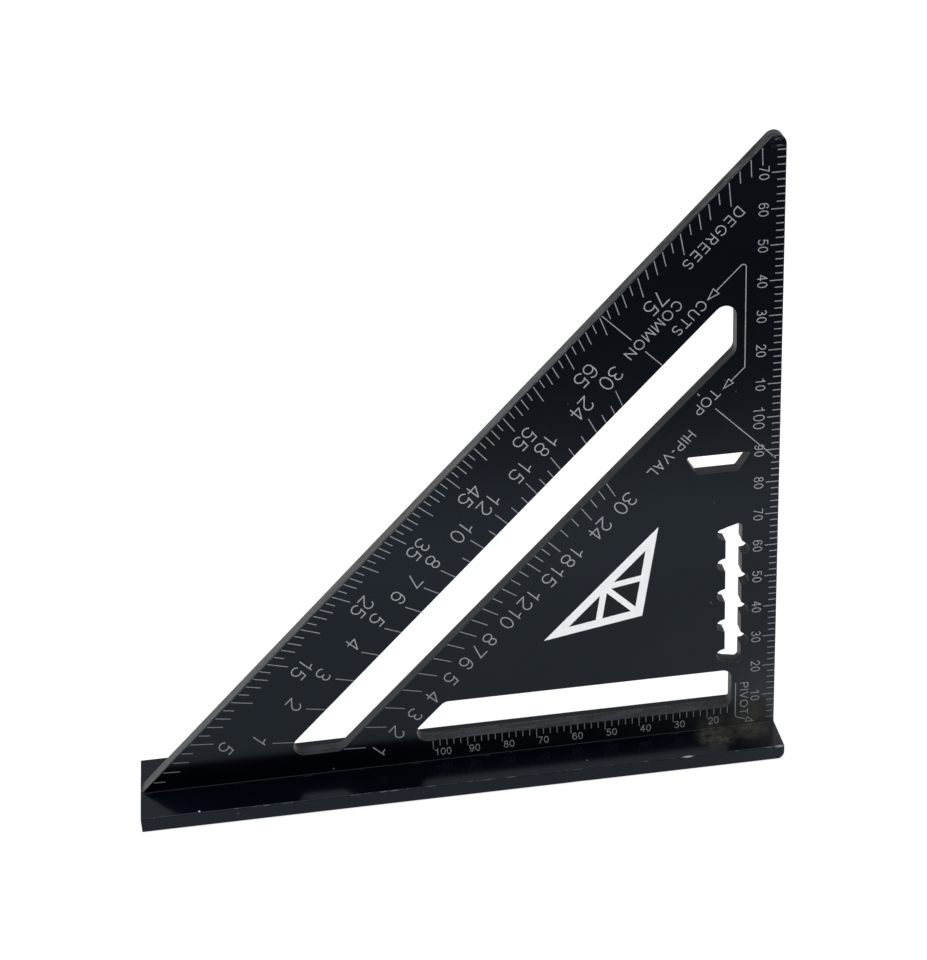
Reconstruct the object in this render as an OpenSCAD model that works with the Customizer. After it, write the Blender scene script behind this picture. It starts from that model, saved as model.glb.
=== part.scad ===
// Speed square: a 180 mm rafter square cut from one aluminium T section.
// It stands on its fence. Origin: centre of the fence's underside. mm, +Z up.

/* [Square] */
// Length of the fence
leg = 184.1; // [183.9:0.1:200]
// Where the sloping edge stands above the fence at the zero of the scales
slope_rise = 183.6; // [180:0.1:183.6]
// Distance from the upright edge to the zero of the scales
margin = 0.2; // [0:0.05:0.4]
// Thickness of the blade
blade_t = 4.2; // [2:0.1:8]
// Radius of the top corner
apex_r = 2.7; // [0.5:0.1:8]

/* [Fence] */
// Width of the fence across both flanges
fence_w = 28.8; // [16:0.1:50]
// Thickness of the fence
fence_t = 4.6; // [3:0.1:10]
// Radius along the fence's lower long edges
fence_r = 0.5; // [0.2:0.1:1.5]
// Radius along the fence's upper long edges
fence_top_r = 0.4; // [0.1:0.05:1]
// Radius of the fillet between blade and fence
fillet_r = 0.2; // [0.1:0.05:2]
// Radius under the fence's end at the pivot
toe_r = 2.6; // [0.5:0.1:4]
// Radius under the fence's other end
heel_r = 0.5; // [0.2:0.1:4]

/* [Windows] */
// Height of the lower edge of both big windows above the fence
window_z = 6.85; // [4.5:0.05:11]
// Distance of the long window's upper edge below the sloping edge, measured upright
long_upper = 32.9; // [30:0.1:36]
// Distance of the long window's lower edge below the sloping edge, measured upright
long_lower = 50.75; // [48:0.05:56]
// Distance of the long window from the zero of the scales
long_right = 12.3; // [8:0.1:30]
// Height of the lower window's upper edge above the fence
low_top = 19.65; // [15:0.05:20.5]
// Distance of the lower window from the zero of the scales
low_right = 12.6; // [8:0.1:30]
// Upright distance of the lower window's sloping end below the sloping edge
low_slope = 68.2; // [56:0.1:100]
// Corner radius of the windows
window_r = 3.1; // [1:0.1:5]

/* [Scribing slot] */
// Width of the slot between its straight sides
scribe_w = 4.6; // [3:0.1:8]
// Distance of the slot's near side from the zero of the scales
scribe_right = 10.05; // [6:0.05:20]
// Spacing of the notches on one side
notch_pitch = 10; // [8:1:10]

/* [Marks] */
// Thickness of the printed film
film = 0.05; // [0.02:0.01:0.2]
// Width of a tick
tick_w = 0.26; // [0.16:0.02:0.8]
// Size of the big figures, outside
fig_h = 4.4; // [3:0.1:7]
// Stroke of the big figures
fig_w = 0.34; // [0.2:0.02:0.8]
// Size of the figures on the upright edge, outside
edge_fig_h = 2.7; // [2:0.1:5]
// Size of the figures under the lower window, outside
slot_fig_h = 2.4; // [1.5:0.1:4]
// Stroke of the figures on both millimetre scales
small_w = 0.24; // [0.16:0.01:0.6]
// Size of the words, outside
word_h = 3.05; // [2:0.05:5]
// Stroke of the words
word_w = 0.3; // [0.2:0.02:0.6]

/* [Hidden] */
r2 = sqrt(2);
// height of each sloping line above the fence at the zero of the scales
c_hyp = slope_rise;
c_up = slope_rise - long_upper;
c_lo = slope_rise - long_lower;
c_low = slope_rise - low_slope;

// ---- small geometry helpers ----
function arc(cx, cy, rx, ry, a0, a1, n = 10) =
    [for (i = [0:n]) let (a = a0 + (a1 - a0) * i / n) [cx + rx * cos(a), cy + ry * sin(a)]];
function unit(v) = v / norm(v);
function left(v) = [-v[1], v[0]];
// points of one corner b between a and c, rounded to radius r
function corner(a, b, c, r, n = 10) =
    let (u = unit(a - b), v = unit(c - b), h = acos(u * v) / 2, t = r / tan(h),
         m = b + unit(u + v) * r / sin(h), p = b + u * t, q = b + v * t,
         s = atan2(p[1] - m[1], p[0] - m[0]), e0 = atan2(q[1] - m[1], q[0] - m[0]),
         d = e0 - s, e = d > 180 ? e0 - 360 : d < -180 ? e0 + 360 : e0)
    [for (i = [0:n]) let (w = s + (e - s) * i / n) m + r * [cos(w), sin(w)]];
function rounded(p, r, n = 10) = let (k = len(p))
    [for (i = [0:k - 1]) each (r[i] == 0 ? [p[i]]
        : corner(p[(i + k - 1) % k], p[i], p[(i + 1) % k], r[i], n))];

// ---- stroked figures: each stroke is [closed, points] in a box one high ----
fw = 0.66;
function g0() = [[true, arc(.33, .5, .33, .5, 0, 342, 19)]];
function g1() = [[false, [[.05, .75], [.22, .78], [.36, .86]]], [false, [[.4, 0], [.4, 1]]]];
function g2() = [[false, concat(arc(.33, .7, .31, .3, 168, -34, 11), [[.03, .02]])],
                 [false, [[0, 0], [.66, 0]]]];
function g3() = [[false, arc(.31, .76, .27, .24, 155, -92, 11)],
                 [false, arc(.31, .27, .34, .27, 92, -152, 12)]];
function g4() = [[false, [[.47, 0], [.47, 1]]], [false, [[.45, 1], [0, .33]]],
                 [false, [[0, .3], [.68, .3]]]];
function g5() = [[false, [[.59, 1], [.13, 1], [.07, .55]]],
                 [false, arc(.31, .32, .35, .32, 138, -150, 13)]];
function g6() = [[true, arc(.34, .31, .32, .31, 0, 340, 17)],
                 [false, concat([[.02, .33]], arc(.35, .6, .33, .4, 180, 38, 10))]];
function g7() = [[false, [[0, 1], [.65, 1]]], [false, [[.63, 1], [.22, 0]]]];
function g8() = [[true, arc(.33, .765, .26, .235, 0, 337.5, 15)],
                 [true, arc(.33, .27, .33, .27, 0, 340, 17)]];
function g9() = [for (s = g6()) [s[0], [for (p = s[1]) [fw - p[0], 1 - p[1]]]]];
function figure(d) = d == 0 ? g0() : d == 1 ? g1() : d == 2 ? g2() : d == 3 ? g3() : d == 4 ? g4()
    : d == 5 ? g5() : d == 6 ? g6() : d == 7 ? g7() : d == 8 ? g8() : g9();
function digits(n) = n >= 100 ? [floor(n / 100), floor(n / 10) % 10, n % 10]
    : n >= 10 ? [floor(n / 10), n % 10] : [n];

// capital letters: [advance width, strokes]
function stem() = [false, [[0, 0], [0, 1]]];
function bowl(x) = [false, concat([[.05, 1], [x, 1]], arc(x, .74, .26, .26, 80, -80, 8),
                                  [[x, .48], [.05, .48]])];
function letter(c) =
    c == "A" ? [.7, [[false, [[0, 0], [.35, 1]]], [false, [[.35, 1], [.7, 0]]],
                     [false, [[.12, .34], [.58, .34]]]]]
    : c == "C" ? [.76, [[false, arc(.42, .5, .42, .5, 42, 318, 14)]]]
    : c == "D" ? [.7, [[true, concat([[0, 0], [0, 1]], arc(.26, .5, .44, .5, 90, -90, 10))]]]
    : c == "E" ? [.58, [[false, [[.58, 0], [0, 0], [0, 1], [.58, 1]]], [false, [[0, .52], [.5, .52]]]]]
    : c == "G" ? [.8, [[false, concat(arc(.42, .5, .42, .5, 45, 325, 14), [[.8, .48]])],
                       [false, [[.8, .48], [.5, .48]]]]]
    : c == "H" ? [.66, [[false, [[0, 0], [0, 1]]], [false, [[.66, 0], [.66, 1]]],
                        [false, [[0, .52], [.66, .52]]]]]
    : c == "I" ? [.06, [[false, [[0, 0], [0, 1]]]]]
    : c == "L" ? [.52, [[false, [[0, 1], [0, 0], [.52, 0]]]]]
    : c == "M" ? [.87, [[false, [[0, 0], [0, 1]]], [false, [[.03, .96], [.435, .06]]],
                        [false, [[.435, .06], [.84, .96]]], [false, [[.87, 0], [.87, 1]]]]]
    : c == "N" ? [.74, [[false, [[0, 0], [0, 1]]], [false, [[.03, .96], [.71, .04]]],
                        [false, [[.74, 0], [.74, 1]]]]]
    : c == "O" ? [.87, [[true, arc(.435, .5, .435, .5, 0, 342, 19)]]]
    : c == "P" ? [.62, [stem(), bowl(.34)]]
    : c == "R" ? [.64, [stem(), bowl(.34), [false, [[.3, .5], [.62, 0]]]]]
    : c == "S" ? [.62, [[false, concat(arc(.31, .76, .28, .24, 35, 262, 10),
                                       arc(.31, .26, .31, .26, 82, -145, 11))]]]
    : c == "T" ? [.68, [[false, [[0, 1], [.68, 1]]], [false, [[.34, 0], [.34, 1]]]]]
    : c == "U" ? [.66, [[false, concat([[0, 1]], arc(.33, .33, .33, .33, 180, 360, 10), [[.66, 1]])]]]
    : c == "V" ? [.76, [[false, [[0, 1], [.38, 0]]], [false, [[.38, 0], [.76, 1]]]]]
    : [.2, [[false, [[0, .4], [.2, .4]]]]];

// one stroke of width w along p, as a flat outline with mitred bends
function side(p, i, closed) = let (k = len(p),
    a = closed ? p[(i + k - 1) % k] : p[max(i - 1, 0)], b = p[i],
    c = closed ? p[(i + 1) % k] : p[min(i + 1, k - 1)],
    m = a == b ? unit(left(c - b)) : b == c ? unit(left(b - a))
        : unit(unit(left(b - a)) + unit(left(c - b))),
    n = a == b ? m : unit(left(b - a))) m / (m * n);
function stretched(p, e) = let (k = len(p)) [for (i = [0:k - 1])
    i == 0 ? p[0] + unit(p[0] - p[1]) * e : i == k - 1 ? p[i] + unit(p[i] - p[i - 1]) * e : p[i]];
module stroke(p, w, closed = false) {
    q = closed ? p : stretched(p, w * .42);
    k = len(q);
    l = [for (i = [0:k - 1]) q[i] + side(q, i, closed) * w / 2];
    r = [for (i = [0:k - 1]) q[i] - side(q, i, closed) * w / 2];
    if (closed) polygon(concat(l, r), [[for (i = [0:k - 1]) i], [for (i = [0:k - 1]) k + i]]);
    else polygon(concat(l, [for (i = [k - 1:-1:0]) r[i]]));
}
module glyph(strokes, sx, sy, w) {
    for (s = strokes) stroke([for (p = s[1]) [p[0] * sx, p[1] * sy]], w, s[0]);
}
// a number, centred on the origin; h is its outside height, pitch the step from figure to figure
module number(n, h, w, pitch, wide = 1) {
    d = digits(n);
    s = h - w;
    for (i = [0:len(d) - 1])
        translate([(i - (len(d) - 1) / 2) * pitch - fw * s * wide / 2, -s / 2])
            glyph(figure(d[i]), s * wide, s, w);
}
function advance(t, n, gap) = n == 0 ? 0 : advance(t, n - 1, gap) + letter(t[n - 1])[0] + gap;
// a word, centred on the origin
module word(t, h, w, gap = .27, wide = 1) {
    s = h - w;
    total = advance(t, len(t), gap) - gap;
    for (i = [0:len(t) - 1])
        translate([(advance(t, i, gap) - total / 2) * s * wide, -s / 2])
            glyph(letter(t[i])[1], s * wide, s, w);
}

// ---- placing things on the blade; x runs from the zero of the scales, z from the fence's top ----
module plate(t, y) translate([leg / 2 - margin, y, fence_t]) rotate([90, 0, 0]) linear_extrude(t)
    children();
module ink() plate(film, -blade_t / 2) children();
module at(x, z, turn = 0) translate([x, z]) rotate(turn) children();
// point on the ray at angle a from the pivot, on the sloping line of rise c
function ray(a, c) = c / (sin(a) + cos(a)) * [-cos(a), sin(a)];
module ray_tick(a, c0, c1) stroke([ray(a, c0), ray(a, c1)], tick_w);
function common_angle(n) = atan(n / 12);
function hip_angle(n) = atan(n / sqrt(288));

main_marks = [1, 2, 3, 4, 5, 6, 7, 8, 10, 12, 15, 18, 24, 30];
common_short = [9, 11, 13, 14, 16, 17, 20, 22, 26, 28];
hip_short = [11, 13, 14, 16, 17, 20, 22, 26, 28];
ink_grey = [.72, .73, .75];

// ---- metal ----
module long_window() polygon(rounded(
    [[window_z - c_up, window_z], [window_z - c_lo, window_z],
     [-long_right, c_lo - long_right], [-long_right, c_up - long_right]],
    [window_r, window_r, window_r, window_r]));

module low_window() polygon(rounded(
    [[window_z - c_low, window_z], [-low_right, window_z], [-low_right, low_top],
     [low_top - c_low, low_top]],
    [window_r, 2.6, 2.6, window_r]));

module square_window() polygon(rounded(
    [[-26.2, 90.05], [-22.75, 84.45], [-11.4, 84.45], [-7.6, 90.05]], [.7, .7, .7, .7], 5));

module notch_right() polygon([[-1, 2.9], [0, 2.15], [.8, 1.5], [1.5, 1.02], [1.98, .5], [2.24, -.15],
    [2.2, -.85], [1.86, -1.47], [1.3, -1.86], [.6, -2.02], [-1, -2.02]]);
module notch_left() polygon([[1, 2.05], [0, 2.02], [-1, 1.74], [-1.72, 1.36], [-2.2, .78], [-2.4, 0],
    [-2.22, -.88], [-1.72, -1.56], [-1, -1.94], [0, -2.3], [1, -3]]);

module scribing() {
    x0 = -scribe_right - scribe_w;
    x1 = -scribe_right;
    polygon(rounded([[x0, 22.75], [x1, 21.7], [x1, 68.25], [x0, 66.85]], [0, 1.1, 1.1, 0], 6));
    for (i = [3:6]) translate([x1, i * notch_pitch]) notch_right();
    for (i = [3:5]) translate([x0, i * notch_pitch + 5]) notch_left();
    // the end notches run into the slot's sloping ends
    intersection() {
        translate([x0, 65]) notch_left();
        translate([x0 - 4, 60]) polygon([[0, 0], [6, 0], [6, 7.4], [0, 5.55]]);
    }
    intersection() {
        translate([x0, 25]) notch_left();
        translate([x0 - 4, 21]) polygon([[0, 2.6], [6, 1.2], [6, 8], [0, 8]]);
    }
}

module blade() color([.07, .07, .085]) plate(blade_t, blade_t / 2) difference() {
    polygon(concat([[-c_hyp, 0], [margin, 0]],
                   corner([margin, 0], [margin, c_hyp + margin], [-c_hyp, 0], apex_r, 14)));
    long_window();
    low_window();
    square_window();
    scribing();
}

function fence_profile() = let (w = fence_w / 2, b = blade_t / 2, f = fillet_r)
    concat(arc(w - fence_r, fence_r, fence_r, fence_r, -90, 0, 6),
           arc(w - fence_top_r, fence_t - fence_top_r, fence_top_r, fence_top_r, 0, 90, 4),
           arc(b + f, fence_t + f, f, f, 270, 180, 5),
           arc(-b - f, fence_t + f, f, f, 0, -90, 5),
           arc(-w + fence_top_r, fence_t - fence_top_r, fence_top_r, fence_top_r, 90, 180, 4),
           arc(-w + fence_r, fence_r, fence_r, fence_r, 180, 270, 6));
module fence() color([.05, .05, .06]) difference() {
    intersection() {
        translate([-leg / 2, 0, 0]) rotate([90, 0, 90]) linear_extrude(leg) polygon(fence_profile());
        // the underside runs out in a radius at both ends
        translate([0, fence_w, 0]) rotate([90, 0, 0]) linear_extrude(2 * fence_w)
            polygon(rounded([[-leg / 2, 0], [leg / 2, 0], [leg / 2, 2 * fence_t], [-leg / 2, 2 * fence_t]],
                            [heel_r, toe_r, 0, 0], 12));
    }
    translate([-leg, -blade_t / 2, fence_t]) cube([2 * leg, blade_t, 2]);
}

// ---- protractor along the sloping edge ----
module degree_ticks() color(ink_grey) ink() for (a = [1:88])
    ray_tick(a, c_hyp - r2 * .55,
             c_hyp - r2 * (a % 5 == 0 ? 5.35 : a % 5 == 2 || a % 5 == 3 ? 3.85 : 2.8));
// a big figure by its ray, moved along the scale by s
module ray_figure(n, a, c, s) let (p = ray(a, c)) at(p[0], p[1], 225)
    translate([s, 0]) number(n, fig_h, fig_w, 3.5);
degree_shift = [-.65, -1.1, -.1, -.1, .6, .5, -.1, 0];
module degree_figures() color(ink_grey) ink() for (i = [0:7]) let (a = 5 + 10 * i)
    ray_figure(a, a + (a - 35) * .026, c_hyp - r2 * 9.15, degree_shift[i]);
module degree_caption() color(ink_grey) ink()
    at(-18.75, 153.4, 225) word("DEGREES", word_h, word_w, .4, 1.08);

// ---- common rafter scale, above the long window ----
module common_ticks() color(ink_grey) ink() {
    for (n = main_marks) ray_tick(common_angle(n), c_up + r2 * .25, c_up + r2 * 4.6);
    for (n = common_short) ray_tick(common_angle(n), c_up + r2 * .25, c_up + r2 * 2.55);
}
common_shift = [-.25, -.3, .1, -1.4, -1.3, -1.4, -.05, -.5, .1, -.5, -.45, -.45, .95, .6];
module common_figures() color(ink_grey) ink() for (i = [0:len(main_marks) - 1])
    ray_figure(main_marks[i], common_angle(main_marks[i]) + .4, c_up + r2 * 8.25, common_shift[i]);
module common_caption() color(ink_grey) ink() {
    at(-34.6, 129.1, 225) word("COMMON", word_h, word_w, .35, 1.07);
    at(-24.95, 131.55, 225) word("CUTS", word_h, word_w, .35, 1.07);
    at(-20.35, 106.4, 225) word("TOP", word_h, word_w, .29, 1.08);
}

// ---- hip and valley rafter scale, below the long window ----
module hip_valley_ticks() color(ink_grey) ink() {
    for (n = concat(main_marks, [9])) ray_tick(hip_angle(n), c_lo - r2 * .25, c_lo - r2 * 4.75);
    for (n = hip_short) ray_tick(hip_angle(n), c_lo - r2 * .25, c_lo - r2 * 3.15);
}
hip_shift = [.3, 1.3, 1.6, 1.1, -.05, -.7, -.4, -.2, -.25, -.3, -.4, -.25, 1, .3];
module hip_valley_figures() color(ink_grey) ink() for (i = [0:len(main_marks) - 1])
    let (a = hip_angle(main_marks[i]))
        ray_figure(main_marks[i], a + (a - 25) * .025, c_lo - r2 * 8.6, hip_shift[i]);
module hip_valley_caption() color(ink_grey) ink()
    at(-29.95, 91.65, 225) word("HIP-VAL", word_h, word_w, .31, 1.1);

// ---- millimetre scale up the upright edge, 2 mm to a tick ----
module edge_ticks() color(ink_grey) ink() for (v = [2:2:176])
    stroke([[-.2, v], [v % 10 == 0 ? -3.5 : -2.1, v]], tick_w);
module edge_figures() color(ink_grey) ink() for (v = [10:10:170])
    at(v == 100 ? -5.85 : -5.6, v, -90)
        number(v > 100 ? v - 100 : v, v == 100 ? edge_fig_h + .5 : edge_fig_h, small_w,
               v == 100 ? 2.4 : 2.05, .84);

// ---- millimetre scale under the lower window ----
module slot_ticks() color(ink_grey) ink() for (v = [14:2:100])
    stroke([[.3 - v, window_z - (v == 14 ? -.3 : .2)], [.3 - v, v % 10 == 0 ? 3.87 : 4.95]], small_w);
module slot_figures() color(ink_grey) ink() for (v = [20:10:100])
    at(.3 - v + (v == 100 ? 2.75 : 1.9), 2.75) number(v, slot_fig_h, small_w, 1.7, .82);

// ---- line square to the rafter, leader, pivot and emblem ----
module guide_line() color(ink_grey) ink() {
    for (s = [[-48.2, -40.6], [-36.8, -32.4], [-22.8, -22.3], [-17.8, -1]])
        stroke([[s[0], 86.3 - s[0]], [s[1], 86.3 - s[1]]], tick_w);
}
module arrow(s, half) stroke([[0, 0], [-s, half], [-s, -half]], tick_w, true);
module caption_leader() color(ink_grey) ink() {
    stroke(concat([[-17.93, 138.52]], corner([-17.93, 138.52], [-9.95, 146.5], [-9.95, 115.7], .8, 6),
                  [[-9.95, 115.7], [-13.6, 112.05]]), tick_w);
    at(-15.7, 109.98, 225) arrow(2.85, .94);
    at(-20.1, 136.32, 225) arrow(3.1, 1.08);
}
module pivot_mark() color(ink_grey) ink() {
    at(-8.8, 9.25, -90) word("PIVOT", 2.45, .26, .28, 1.2);
    stroke(concat([[-11.35, 14.8]], corner([-11.35, 14.8], [-11.35, 3.15], [-8.5, 2.1], 1.2, 5),
                  [[-8.5, 2.1]]), tick_w);
    at(-6.1, 1.1, -22) arrow(2.05, .84);
}
module roof_emblem() color([.93, .94, .96]) ink() at(-44.6, 47.4, 225) {
    stroke([[-19.5, -6.6], [19.5, -6.6], [0, 7.2]], 2.4, true);
    stroke([[0, -5.8], [0, 5.8]], 1.8);
    for (s = [-1, 1]) stroke([[s * .9, -5.6], [s * 9.2, .25]], 1.8);
}

blade();
fence();
degree_ticks();
degree_figures();
degree_caption();
common_ticks();
common_figures();
common_caption();
hip_valley_ticks();
hip_valley_figures();
hip_valley_caption();
edge_ticks();
edge_figures();
slot_ticks();
slot_figures();
guide_line();
caption_leader();
pivot_mark();
roof_emblem();
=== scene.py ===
"""Looks for the speed square: black anodised T section with milled edges and pale laser marks."""
import math
import bmesh
import bpy
from mathutils import Matrix, Vector


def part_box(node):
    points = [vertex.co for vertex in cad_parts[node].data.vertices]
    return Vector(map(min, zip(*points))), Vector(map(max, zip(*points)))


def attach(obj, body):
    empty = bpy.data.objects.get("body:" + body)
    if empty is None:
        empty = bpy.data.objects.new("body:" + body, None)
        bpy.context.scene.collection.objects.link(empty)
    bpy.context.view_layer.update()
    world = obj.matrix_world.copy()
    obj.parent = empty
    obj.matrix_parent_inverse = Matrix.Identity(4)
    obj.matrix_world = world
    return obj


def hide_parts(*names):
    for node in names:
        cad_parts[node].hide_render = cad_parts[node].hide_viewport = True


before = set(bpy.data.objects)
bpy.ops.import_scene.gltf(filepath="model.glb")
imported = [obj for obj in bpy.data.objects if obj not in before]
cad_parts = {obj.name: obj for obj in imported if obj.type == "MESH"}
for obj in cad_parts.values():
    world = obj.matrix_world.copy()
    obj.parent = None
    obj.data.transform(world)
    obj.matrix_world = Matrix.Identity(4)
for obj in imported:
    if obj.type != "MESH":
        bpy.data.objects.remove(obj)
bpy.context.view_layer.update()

MM = 0.001


# ---------------------------------------------------------------- node helpers
# The helpers hand on an output as a pair, (node, output). A colour is a tuple of three numbers.
def plug(tree, value, socket):
    """Feed a socket from an output, or set it to a colour, a vector or a number."""
    if not isinstance(value, tuple):
        socket.default_value = value
    elif hasattr(value[0], "outputs"):
        source, output = value
        tree.links.new(source.outputs[output], socket)
    else:
        socket.default_value = (*value, 1)


def plug_all(tree, n, inputs):
    for key, value in inputs.items():
        plug(tree, value, n.inputs[key])


def node(tree, kind, inputs=None, **settings):
    n = tree.nodes.new(kind)
    for key, value in settings.items():
        setattr(n, key, value)
    plug_all(tree, n, inputs or {})
    return n


def new_material(name, inputs):
    """A material with these values on its shader."""
    m = bpy.data.materials.new(name)
    m.use_nodes = True
    tree = m.node_tree
    shader = tree.nodes["Principled BSDF"]
    plug_all(tree, shader, inputs)
    return m, tree, shader


def coords(tree, scale=(1, 1, 1)):
    """The object's own coordinates, stretched by the scale."""
    own = node(tree, "ShaderNodeTexCoord")
    stretched = node(tree, "ShaderNodeMapping", {"Vector": (own, "Object"), "Scale": Vector(scale)})
    return stretched, "Vector"


def noise(tree, at, scale, detail=4, rough=0.5):
    n = node(tree, "ShaderNodeTexNoise",
             {"Vector": at, "Scale": scale, "Detail": detail, "Roughness": rough})
    return n, "Fac"


def ramp(tree, source, stops):
    """Grey value by the source, from (position, value) stops."""
    r = node(tree, "ShaderNodeValToRGB", {"Fac": source})
    elements = r.color_ramp.elements
    while len(elements) < len(stops):
        elements.new(0.5)
    for element, (position, value) in zip(elements, stops):
        element.position = position
        element.color = (value, value, value, 1)
    return r, "Color"


# the colour sockets' places on a Mix node, which has same-named sockets for its other types
MIX_FACTOR, MIX_A, MIX_B, MIX_RESULT = 0, 6, 7, 2


def mixed(tree, factor, a, b):
    """Colour between a and b; each of the three is an output or a plain value."""
    m = node(tree, "ShaderNodeMix", data_type="RGBA")
    plug_all(tree, m, {MIX_FACTOR: factor, MIX_A: a, MIX_B: b})
    return m, MIX_RESULT


def product(tree, a, b):
    return node(tree, "ShaderNodeMath", {0: a, 1: b}, operation="MULTIPLY"), "Value"


def stretch(tree, at, factors):
    """The place at, multiplied along X, Y and Z."""
    return node(tree, "ShaderNodeVectorMath", {0: at, 1: Vector(factors)}, operation="MULTIPLY"), "Vector"


def distance_ramp(tree, at, centre, reach, stops):
    """Value by distance from a point of the tool, stops in parts of the reach."""
    away = node(tree, "ShaderNodeVectorMath", {0: at, 1: Vector(centre)}, operation="DISTANCE")
    return ramp(tree, product(tree, (away, "Value"), 1 / reach), stops)


def line_ramp(tree, at, y, z, reach):
    """1 on the line along X through y and z, falling to 0 at the reach."""
    return distance_ramp(tree, stretch(tree, at, (0, 1, 1)), (0, y, z), reach, [(0, 1), (0.35, 1), (1, 0)])


def spot_ramp(tree, at, centre, size):
    """1 at the centre of a long spot, falling to 0 at its half sizes along X, Y and Z."""
    squeezed = stretch(tree, at, [1 / v for v in size])
    return distance_ramp(tree, squeezed, [c / v for c, v in zip(centre, size)], 1, [(0.4, 1), (1, 0)])


def bump(tree, shader, source, strength, depth):
    b = node(tree, "ShaderNodeBump", {"Strength": strength, "Distance": depth, "Height": source})
    plug(tree, (b, "Normal"), shader.inputs["Normal"])


# ---------------------------------------------------------------- places of wear and of painted highlights
BLADE_LOW, BLADE_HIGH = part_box("blade")
FENCE_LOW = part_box("fence")[0]
FACE_Y, FENCE_TOP = BLADE_LOW[1], BLADE_LOW[2]
UPRIGHT_X = BLADE_HIGH[0]
PIVOT = (UPRIGHT_X, FACE_Y, FENCE_TOP)
APEX = (UPRIGHT_X - 1.2 * MM, FACE_Y, BLADE_HIGH[2] - 0.8 * MM)
PIVOT_REACH, WARM_REACH, APEX_REACH = 130 * MM, 7 * MM, 4.2 * MM

# where hands have rubbed the anodising to a warm grey, on the blade's foot and on the fence
WARM_PATCHES = [(UPRIGHT_X - 7.5 * MM, FACE_Y - 1.5 * MM, FENCE_TOP + 2.5 * MM),
                (UPRIGHT_X - 18 * MM, FACE_Y - 3.5 * MM, FENCE_TOP)]

# y, z, reach and colour of the lines along the fence: on its front upper and lower edges the anodising is
# rubbed through, and the upper line is also a painted highlight of the rounded edge; the last line, 0.66
# mm in front of the blade on the fence top, is a painted highlight of the fillet
WORN_AND_HIGHLIGHT_LINES = [(FENCE_LOW[1] + 0.12 * MM, FENCE_TOP - 0.12 * MM, 0.2 * MM, (0.11, 0.11, 0.12)),
              (FENCE_LOW[1] + 0.15 * MM, 0.2 * MM, 0.3 * MM, (0.06, 0.06, 0.068)),
              (FACE_Y - 0.66 * MM, FENCE_TOP, 0.2 * MM, (0.028, 0.030, 0.034))]

# centre, half size and colour of the knocks that show bare metal
KNOCKS = [((UPRIGHT_X - 28.1 * MM, FENCE_LOW[1] + 0.1 * MM, FENCE_TOP - 0.1 * MM),
           (2.2 * MM, 0.4 * MM, 0.4 * MM), (0.42, 0.42, 0.42)),
          ((UPRIGHT_X - 59.5 * MM, FENCE_LOW[1] + 0.1 * MM, 0.15 * MM),
           (3.2 * MM, 0.4 * MM, 0.35 * MM), (0.34, 0.34, 0.35)),
          ((UPRIGHT_X - 167.7 * MM, FENCE_LOW[1] + 0.7 * MM, FENCE_TOP),
           (0.4 * MM, 0.4 * MM, 0.4 * MM), (0.5, 0.5, 0.5)),
          ((UPRIGHT_X - 1.2 * MM, FENCE_LOW[1] + 0.1 * MM, FENCE_TOP - 0.1 * MM),
           (2.0 * MM, 0.5 * MM, 0.5 * MM), (0.2, 0.2, 0.21))]

# how strong the pale rub is, by distance from the pivot in parts of its reach
BLADE_RUB = [(0, 0.95), (0.1, 0.45), (0.2, 0.17), (0.3, 0.1), (0.4, 0.06), (0.75, 0.05), (0.86, 0)]
FENCE_RUB = [(0, 0.6), (0.05, 0.45), (0.12, 0.05), (0.3, 0)]


# ---------------------------------------------------------------- anodising
RUBBED, RUBBED_WARM = (0.034, 0.0355, 0.037), (0.044, 0.043, 0.036)
SCRAPED, DUST = (0.15, 0.15, 0.18), (0.11, 0.11, 0.115)
CLOUD_GAIN = 1.5


def dust(tree, at, cut):
    """Specks, only where a coarse noise is above the cut."""
    cells = node(tree, "ShaderNodeTexVoronoi", {"Scale": 260, "Vector": at})
    dot = ramp(tree, (cells, "Distance"), [(0.0, 1), (0.06, 1), (0.09, 0)])
    patch = ramp(tree, noise(tree, at, scale=75, detail=3), [(cut, 0), (cut + 0.05, 1)])
    return product(tree, dot, patch)


def pivot_rub(tree, at, stops):
    """The uneven rub around the pivot."""
    uneven = ramp(tree, noise(tree, at, scale=160, rough=0.6), [(0.3, 0.75), (0.7, 1)])
    return product(tree, distance_ramp(tree, at, PIVOT, PIVOT_REACH, stops), uneven)


def apex_scrapes(tree, at):
    """Short scrapes across the apex."""
    near = distance_ramp(tree, at, APEX, APEX_REACH, [(0.25, 0.8), (1, 0)])
    grain = noise(tree, coords(tree, (420, 900, 1500)), scale=1.0, rough=0.6)
    return product(tree, near, ramp(tree, grain, [(0.53, 0), (0.63, 1)]))


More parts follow.
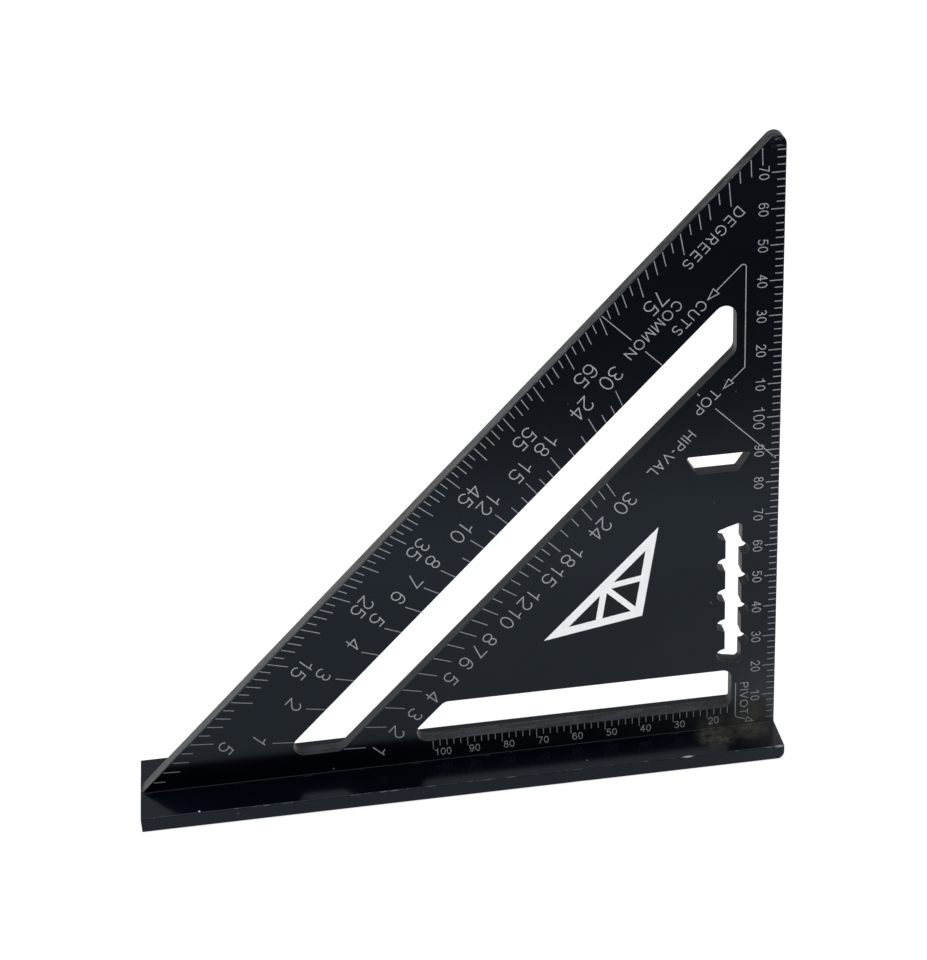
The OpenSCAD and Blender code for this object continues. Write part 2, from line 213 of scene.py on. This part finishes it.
def anodised(name, base, rub_stops, rough, speck_cut):
    """Glossy black anodising: faint drawing lines, dust, wear at the pivot, apex and fence, and painted
    highlight lines on the fence top and front upper edge.
    """
    m, t, shader = new_material(name, {"IOR": 1.305, "Specular Tint": (0.64, 0.82, 1.0), "Metallic": 0})
    at = coords(t)
    cloud = noise(t, at, scale=22)
    blotch = ramp(t, noise(t, at, scale=420, detail=3, rough=0.6), [(0.36, 0.25), (0.62, 1)])
    along_x = noise(t, coords(t, (210, 60, 60)), scale=1.0, detail=6, rough=0.75)
    broken = ramp(t, along_x, [(0.53, 0), (0.68, 1)])
    colour = mixed(t, cloud, base, tuple(CLOUD_GAIN * v for v in base))
    colour = mixed(t, pivot_rub(t, at, rub_stops), colour, RUBBED)
    for spot in WARM_PATCHES:
        warm = distance_ramp(t, at, spot, WARM_REACH, [(0.4, 1), (1, 0)])
        colour = mixed(t, product(t, warm, blotch), colour, RUBBED_WARM)
    colour = mixed(t, apex_scrapes(t, at), colour, SCRAPED)
    # the fence's lines of wear and of painted highlight, broken along their length
    for y, z, reach, worn_and_lit_colour in WORN_AND_HIGHLIGHT_LINES:
        colour = mixed(t, product(t, line_ramp(t, at, y, z, reach), broken), colour, worn_and_lit_colour)
    for centre, size, worn_and_lit_colour in KNOCKS:
        colour = mixed(t, product(t, spot_ramp(t, at, centre, size), blotch), colour, worn_and_lit_colour)
    colour = mixed(t, dust(t, at, speck_cut), colour, DUST)
    low, high = rough
    plug_all(t, shader, {"Base Color": colour, "Roughness": ramp(t, cloud, [(0.3, low), (0.7, high)])})
    drawing_lines = noise(t, coords(t, (6, 900, 900)), scale=1.0, detail=3)
    bump(t, shader, drawing_lines, strength=0.035, depth=0.04 * MM)
    return m


# ---------------------------------------------------------------- cut edges and marks
STREAK_TO_CLOUD = 0.45
EDGE_ROUGH_SPREAD, INK_ROUGH_SPREAD = 0.16, 0.12


def milled(name, dark, pale, glint, rough, ior):
    """Edges cut after anodising: satin grey, streaked along the cut, with painted glints on bright grains.
    """
    m, t, shader = new_material(name, {"Metallic": 0.5, "IOR": ior})
    at = coords(t)
    streak = noise(t, coords(t, (70, 1700, 70)), scale=1.0, rough=0.6)
    cloud = noise(t, at, scale=210, detail=5, rough=0.65)
    both = mixed(t, STREAK_TO_CLOUD, streak, cloud)
    colour = mixed(t, ramp(t, both, [(0.44, 0), (0.58, 1)]), dark, pale)
    grain = noise(t, at, scale=2200, detail=3, rough=0.6)
    # painted glints: bright specks where the fine grain noise is high
    colour = mixed(t, ramp(t, grain, [(0.62, 0), (0.74, 1)]), colour, glint)
    roughness = ramp(t, cloud, [(0.3, rough), (0.7, rough + EDGE_ROUGH_SPREAD)])
    plug_all(t, shader, {"Base Color": colour, "Roughness": roughness})
    cutter_marks = noise(t, coords(t, (700, 60, 700)), scale=1.0, detail=3)
    bump(t, shader, cutter_marks, strength=0.25, depth=0.06 * MM)
    return m


# share of a mark's fresh tone, by height in parts of the blade's; lower down, nearer the fence, it is
# darker
FRESH_SHARE_BY_HEIGHT = [(0.03, 0), (0.17, 0.35), (0.3, 0.75), (0.5, 1)]


def ink(name, low, high, rough, near_fence):
    """Laser-marked or printed film, slightly uneven, darker towards the fence, where it takes the
    near_fence colour.
    """
    m, t, shader = new_material(name, {"IOR": 1.4})
    at = coords(t)
    cloud = noise(t, at, scale=380, rough=0.6)
    fresh = mixed(t, ramp(t, cloud, [(0.3, 0), (0.7, 1)]), low, high)
    place = node(t, "ShaderNodeSeparateXYZ", {"Vector": at})
    # marks are darker towards the fence, by height
    fresh_share = ramp(t, product(t, (place, "Z"), 1 / BLADE_HIGH[2]), FRESH_SHARE_BY_HEIGHT)
    roughness = ramp(t, cloud, [(0.3, rough), (0.7, rough + INK_ROUGH_SPREAD)])
    plug_all(t, shader, {"Base Color": mixed(t, fresh_share, near_fence, fresh), "Roughness": roughness})
    bump(t, shader, noise(t, at, scale=2600, detail=2), strength=0.1, depth=0.02 * MM)
    return m


FACE = anodised("black_anodising", base=(0.0001, 0.0003, 0.0016), rub_stops=BLADE_RUB,
                rough=(0.16, 0.21), speck_cut=0.66)
FENCE = anodised("black_anodising_fence", base=(0.0004, 0.0009, 0.0024), rub_stops=FENCE_RUB,
                 rough=(0.15, 0.20), speck_cut=0.64)
OUTER = milled("milled_outside", dark=(0.003, 0.004, 0.007), pale=(0.060, 0.063, 0.070),
               glint=(0.26, 0.26, 0.27), rough=0.36, ior=1.27)
INNER = milled("milled_windows", dark=(0.010, 0.011, 0.013), pale=(0.029, 0.031, 0.036),
               glint=(0.13, 0.13, 0.14), rough=0.4, ior=1.27)
RIM = milled("broken_edge", dark=(0.016, 0.018, 0.022), pale=(0.070, 0.073, 0.080),
             glint=(0.36, 0.36, 0.37), rough=0.3, ior=1.35)
# the back broken edges: the same edge as RIM made lighter, and the extra lightness is a painted highlight
PAINTED_LIT_BACK_RIM = milled("broken_edge_back_painted_highlight", dark=(0.10, 0.103, 0.108), pale=(0.22, 0.225, 0.23),
                  glint=(0.5, 0.5, 0.51), rough=0.3, ior=1.4)
TICK = ink("laser_ticks", low=(0.22, 0.23, 0.25), high=(0.31, 0.32, 0.35), rough=0.5,
           near_fence=(0.105, 0.112, 0.125))
MARK = ink("laser_mark", low=(0.26, 0.27, 0.29), high=(0.37, 0.385, 0.41), rough=0.5,
           near_fence=(0.17, 0.18, 0.195))
PRINT = ink("white_print", low=(0.80, 0.83, 0.86), high=(0.90, 0.92, 0.94), rough=0.42,
            near_fence=(0.80, 0.83, 0.86))


# ---------------------------------------------------------------- metal with broken edges
WELD_DISTANCE = 0.002 * MM
FLAT_ANGLE, SHARP_ANGLE = math.radians(0.4), math.radians(28)


def welded(cad):
    """The CAD node's mesh as a bmesh, with its doubled corners joined and its flats made whole."""
    bm = bmesh.new()
    bm.from_mesh(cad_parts[cad].data)
    bmesh.ops.remove_doubles(bm, verts=bm.verts, dist=WELD_DISTANCE)
    bmesh.ops.dissolve_limit(bm, angle_limit=FLAT_ANGLE, verts=bm.verts, edges=bm.edges)
    bmesh.ops.recalc_face_normals(bm, faces=bm.faces)
    for f in bm.faces:
        f.smooth = True
    return bm


def is_sharp(edge):
    return len(edge.link_faces) == 2 and edge.calc_face_angle() > SHARP_ANGLE


def break_edges(bm, edges, width, material):
    """Round these edges a little; material is the place of the new faces' material in the piece's list."""
    bmesh.ops.bevel(bm, geom=edges, offset=width, offset_type="OFFSET", segments=2, profile=0.6,
                    affect="EDGES", clamp_overlap=True, material=material, harden_normals=False)


def metal_piece(cad, name, bm, materials):
    """Put the finished piece in place of the CAD node."""
    me = bpy.data.meshes.new(name)
    bm.to_mesh(me)
    bm.free()
    for m in materials:
        me.materials.append(m)
    o = bpy.data.objects.new(name, me)
    bpy.context.scene.collection.objects.link(o)
    w = o.modifiers.new("weighted", "WEIGHTED_NORMAL")
    w.keep_sharp = False
    w.weight = 80
    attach(o, "root")
    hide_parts(cad)


# ---------------------------------------------------------------- blade
# places in the blade's list of materials, where the face is 0
OUTER_I, INNER_I, RIM_I, PAINTED_LIT_BACK_RIM_I = range(1, 5)
OUTER_BAND = 2 * MM
SLOT_SIDE = UPRIGHT_X - 19 * MM
SLOT_FOOT, SLOT_HEAD = 25 * MM, 75 * MM
WALL_NORMAL_Y = 0.7

bm = welded("blade")
slope = max(v.co.z - v.co.x for v in bm.verts)


def inside(p):
    """True for a point of the blade's windows and slot, False for one of its outer edge."""
    from_upright = UPRIGHT_X - p.x
    from_slope = (slope - (p.z - p.x)) / math.sqrt(2)
    return min(from_upright, from_slope) > OUTER_BAND


def outline_of(edge):
    """Which outline an edge lies on, or None if it isn't to be broken."""
    start, end = (v.co for v in edge.verts)
    middle = (start + end) / 2
    across_plate = abs(start.y - end.y) > MM
    if not is_sharp(edge) or across_plate or middle.z < FENCE_TOP + MM:
        return None
    if middle.y > 0:
        return "back"
    if not inside(middle):
        return "outer"
    in_slot = middle.x > SLOT_SIDE and SLOT_FOOT < middle.z < SLOT_HEAD
    return "slot" if in_slot else "window"


for f in bm.faces:
    if abs(f.normal.y) < WALL_NORMAL_Y:
        f.material_index = INNER_I if inside(f.calc_center_median()) else OUTER_I
outlines = {"window": [], "slot": [], "outer": [], "back": [], None: []}
for e in bm.edges:
    outlines[outline_of(e)].append(e)
# the back outline takes the lighter copy of the broken edge, a painted highlight
for key, width, material in (("window", 0.4, RIM_I), ("slot", 0.26, RIM_I), ("outer", 0.27, RIM_I),
                             ("back", 0.26, PAINTED_LIT_BACK_RIM_I)):
    break_edges(bm, outlines[key], width * MM, material)
metal_piece("blade", "blade_metal", bm, (FACE, OUTER, INNER, RIM, PAINTED_LIT_BACK_RIM))

# ---------------------------------------------------------------- fence
FENCE_EDGE = 0.3 * MM

bm = welded("fence")
break_edges(bm, [e for e in bm.edges if is_sharp(e)], FENCE_EDGE, 0)
metal_piece("fence", "fence_metal", bm, (FENCE,))

# ---------------------------------------------------------------- marks
for name, o in sorted(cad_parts.items()):
    if name in ("blade", "fence"):
        continue
    o.data.materials.clear()
    white = name == "roof_emblem"
    o.data.materials.append(PRINT if white else TICK if name.endswith("_ticks") else MARK)


# ---------------------------------------------------------------- stage
def flat(name, x0, y0, x1, y1, z, material):
    me = bpy.data.meshes.new(name)
    me.from_pydata([(x0, y0, z), (x1, y0, z), (x1, y1, z), (x0, y1, z)], [], [(0, 1, 2, 3)])
    me.materials.append(material)
    o = bpy.data.objects.new(name, me)
    bpy.context.scene.collection.objects.link(o)


def pale_floor():
    """The floor gives off most of its own light, so it stays white and takes almost no shadow."""
    return new_material("pale_floor", {
        "Base Color": (0.22, 0.22, 0.22), "Roughness": 0.9, "Specular IOR Level": 0.0,
        "Emission Color": (1, 1, 1), "Emission Strength": 0.84})[0]


# the card's tone from its front edge (0) to the edge nearest the tool (1)
CARD_TONES = [(0.0, 0.22), (0.767, 0.22), (0.787, 0.18), (0.82, 0.14), (0.867, 0.17), (0.913, 0.22),
              (0.9253, 0.36), (0.936, 0.45), (0.946, 0.60), (0.967, 0.93), (1.0, 0.93)]


def shaded_card():
    """The face mirrors this card, which darkens it. From behind, the card itself shows as grey."""
    m, t, shader = new_material("shaded_card", {"Roughness": 1.0, "Specular IOR Level": 0.0})
    across_card = node(t, "ShaderNodeTexCoord")
    place = node(t, "ShaderNodeSeparateXYZ", {"Vector": (across_card, "Generated")})
    plug(t, ramp(t, (place, "Y"), CARD_TONES), shader.inputs["Base Color"])
    return m


FLOOR_REACH = 6
CARD_HALF_WIDTH, CARD_FRONT, CARD_NEAR = 1.2, -1.6, -0.1
LIFT = 0.2 * MM
flat("floor", -FLOOR_REACH, -FLOOR_REACH, FLOOR_REACH, FLOOR_REACH, -LIFT, pale_floor())
flat("card", -CARD_HALF_WIDTH, CARD_FRONT, CARD_HALF_WIDTH, CARD_NEAR, LIFT, shaded_card())

world = bpy.data.worlds.new("studio")
bpy.context.scene.world = world
world.use_nodes = True
sky_tree = world.node_tree
sky = node(sky_tree, "ShaderNodeTexCoord")
height = node(sky_tree, "ShaderNodeSeparateXYZ", {"Vector": (sky, "Generated")})
dome = ramp(sky_tree, (height, "Z"), [(0.0, 0.3), (0.55, 0.3), (0.85, 1.0)])
plug_all(sky_tree, sky_tree.nodes["Background"], {"Color": dome, "Strength": 1.6})


def softbox(name, at, aim, size, power):
    d = bpy.data.lights.new(name, "AREA")
    d.shape = "RECTANGLE"
    d.size, d.size_y = size
    d.energy = power
    o = bpy.data.objects.new(name, d)
    o.location = at
    o.rotation_euler = (Vector(aim) - Vector(at)).to_track_quat("-Z", "Y").to_euler()
    bpy.context.scene.collection.objects.link(o)


softbox("overhead", at=(-0.3, 0.1, 1.5), aim=(0, 0, 0), size=(2.0, 2.0), power=14)
softbox("front_left", at=(-1.0, -0.9, 0.9), aim=(0, 0, 0.05), size=(0.9, 0.9), power=5)

# ---------------------------------------------------------------- camera
# place, angles and lens were fitted to the ticks of the tool's own scales
CAMERA_AT = Vector((-47.09, -518.5, 376.62)) * MM
AZIMUTH, ELEVATION, ROLL = (math.radians(v) for v in (-5.764, 28.488, -3.139))
SENSOR_MM, LENS_MM = 36, 82.3875

back = Vector((math.sin(AZIMUTH) * math.cos(ELEVATION), -math.cos(AZIMUTH) * math.cos(ELEVATION),
               math.sin(ELEVATION)))
level = Vector((0, 0, 1)).cross(back).normalized()
upward = back.cross(level)
x_axis = math.cos(ROLL) * level + math.sin(ROLL) * upward
y_axis = -math.sin(ROLL) * level + math.cos(ROLL) * upward

lens = bpy.data.cameras.new("camera")
lens.sensor_width = SENSOR_MM
lens.lens = LENS_MM
lens.clip_start = 0.01
camera = bpy.data.objects.new("camera", lens)
bpy.context.scene.collection.objects.link(camera)
turn = Matrix((x_axis, y_axis, back)).transposed()
camera.matrix_world = Matrix.Translation(CAMERA_AT) @ turn.to_4x4()
bpy.context.scene.camera = camera

bpy.context.scene.view_settings.view_transform = "Standard"
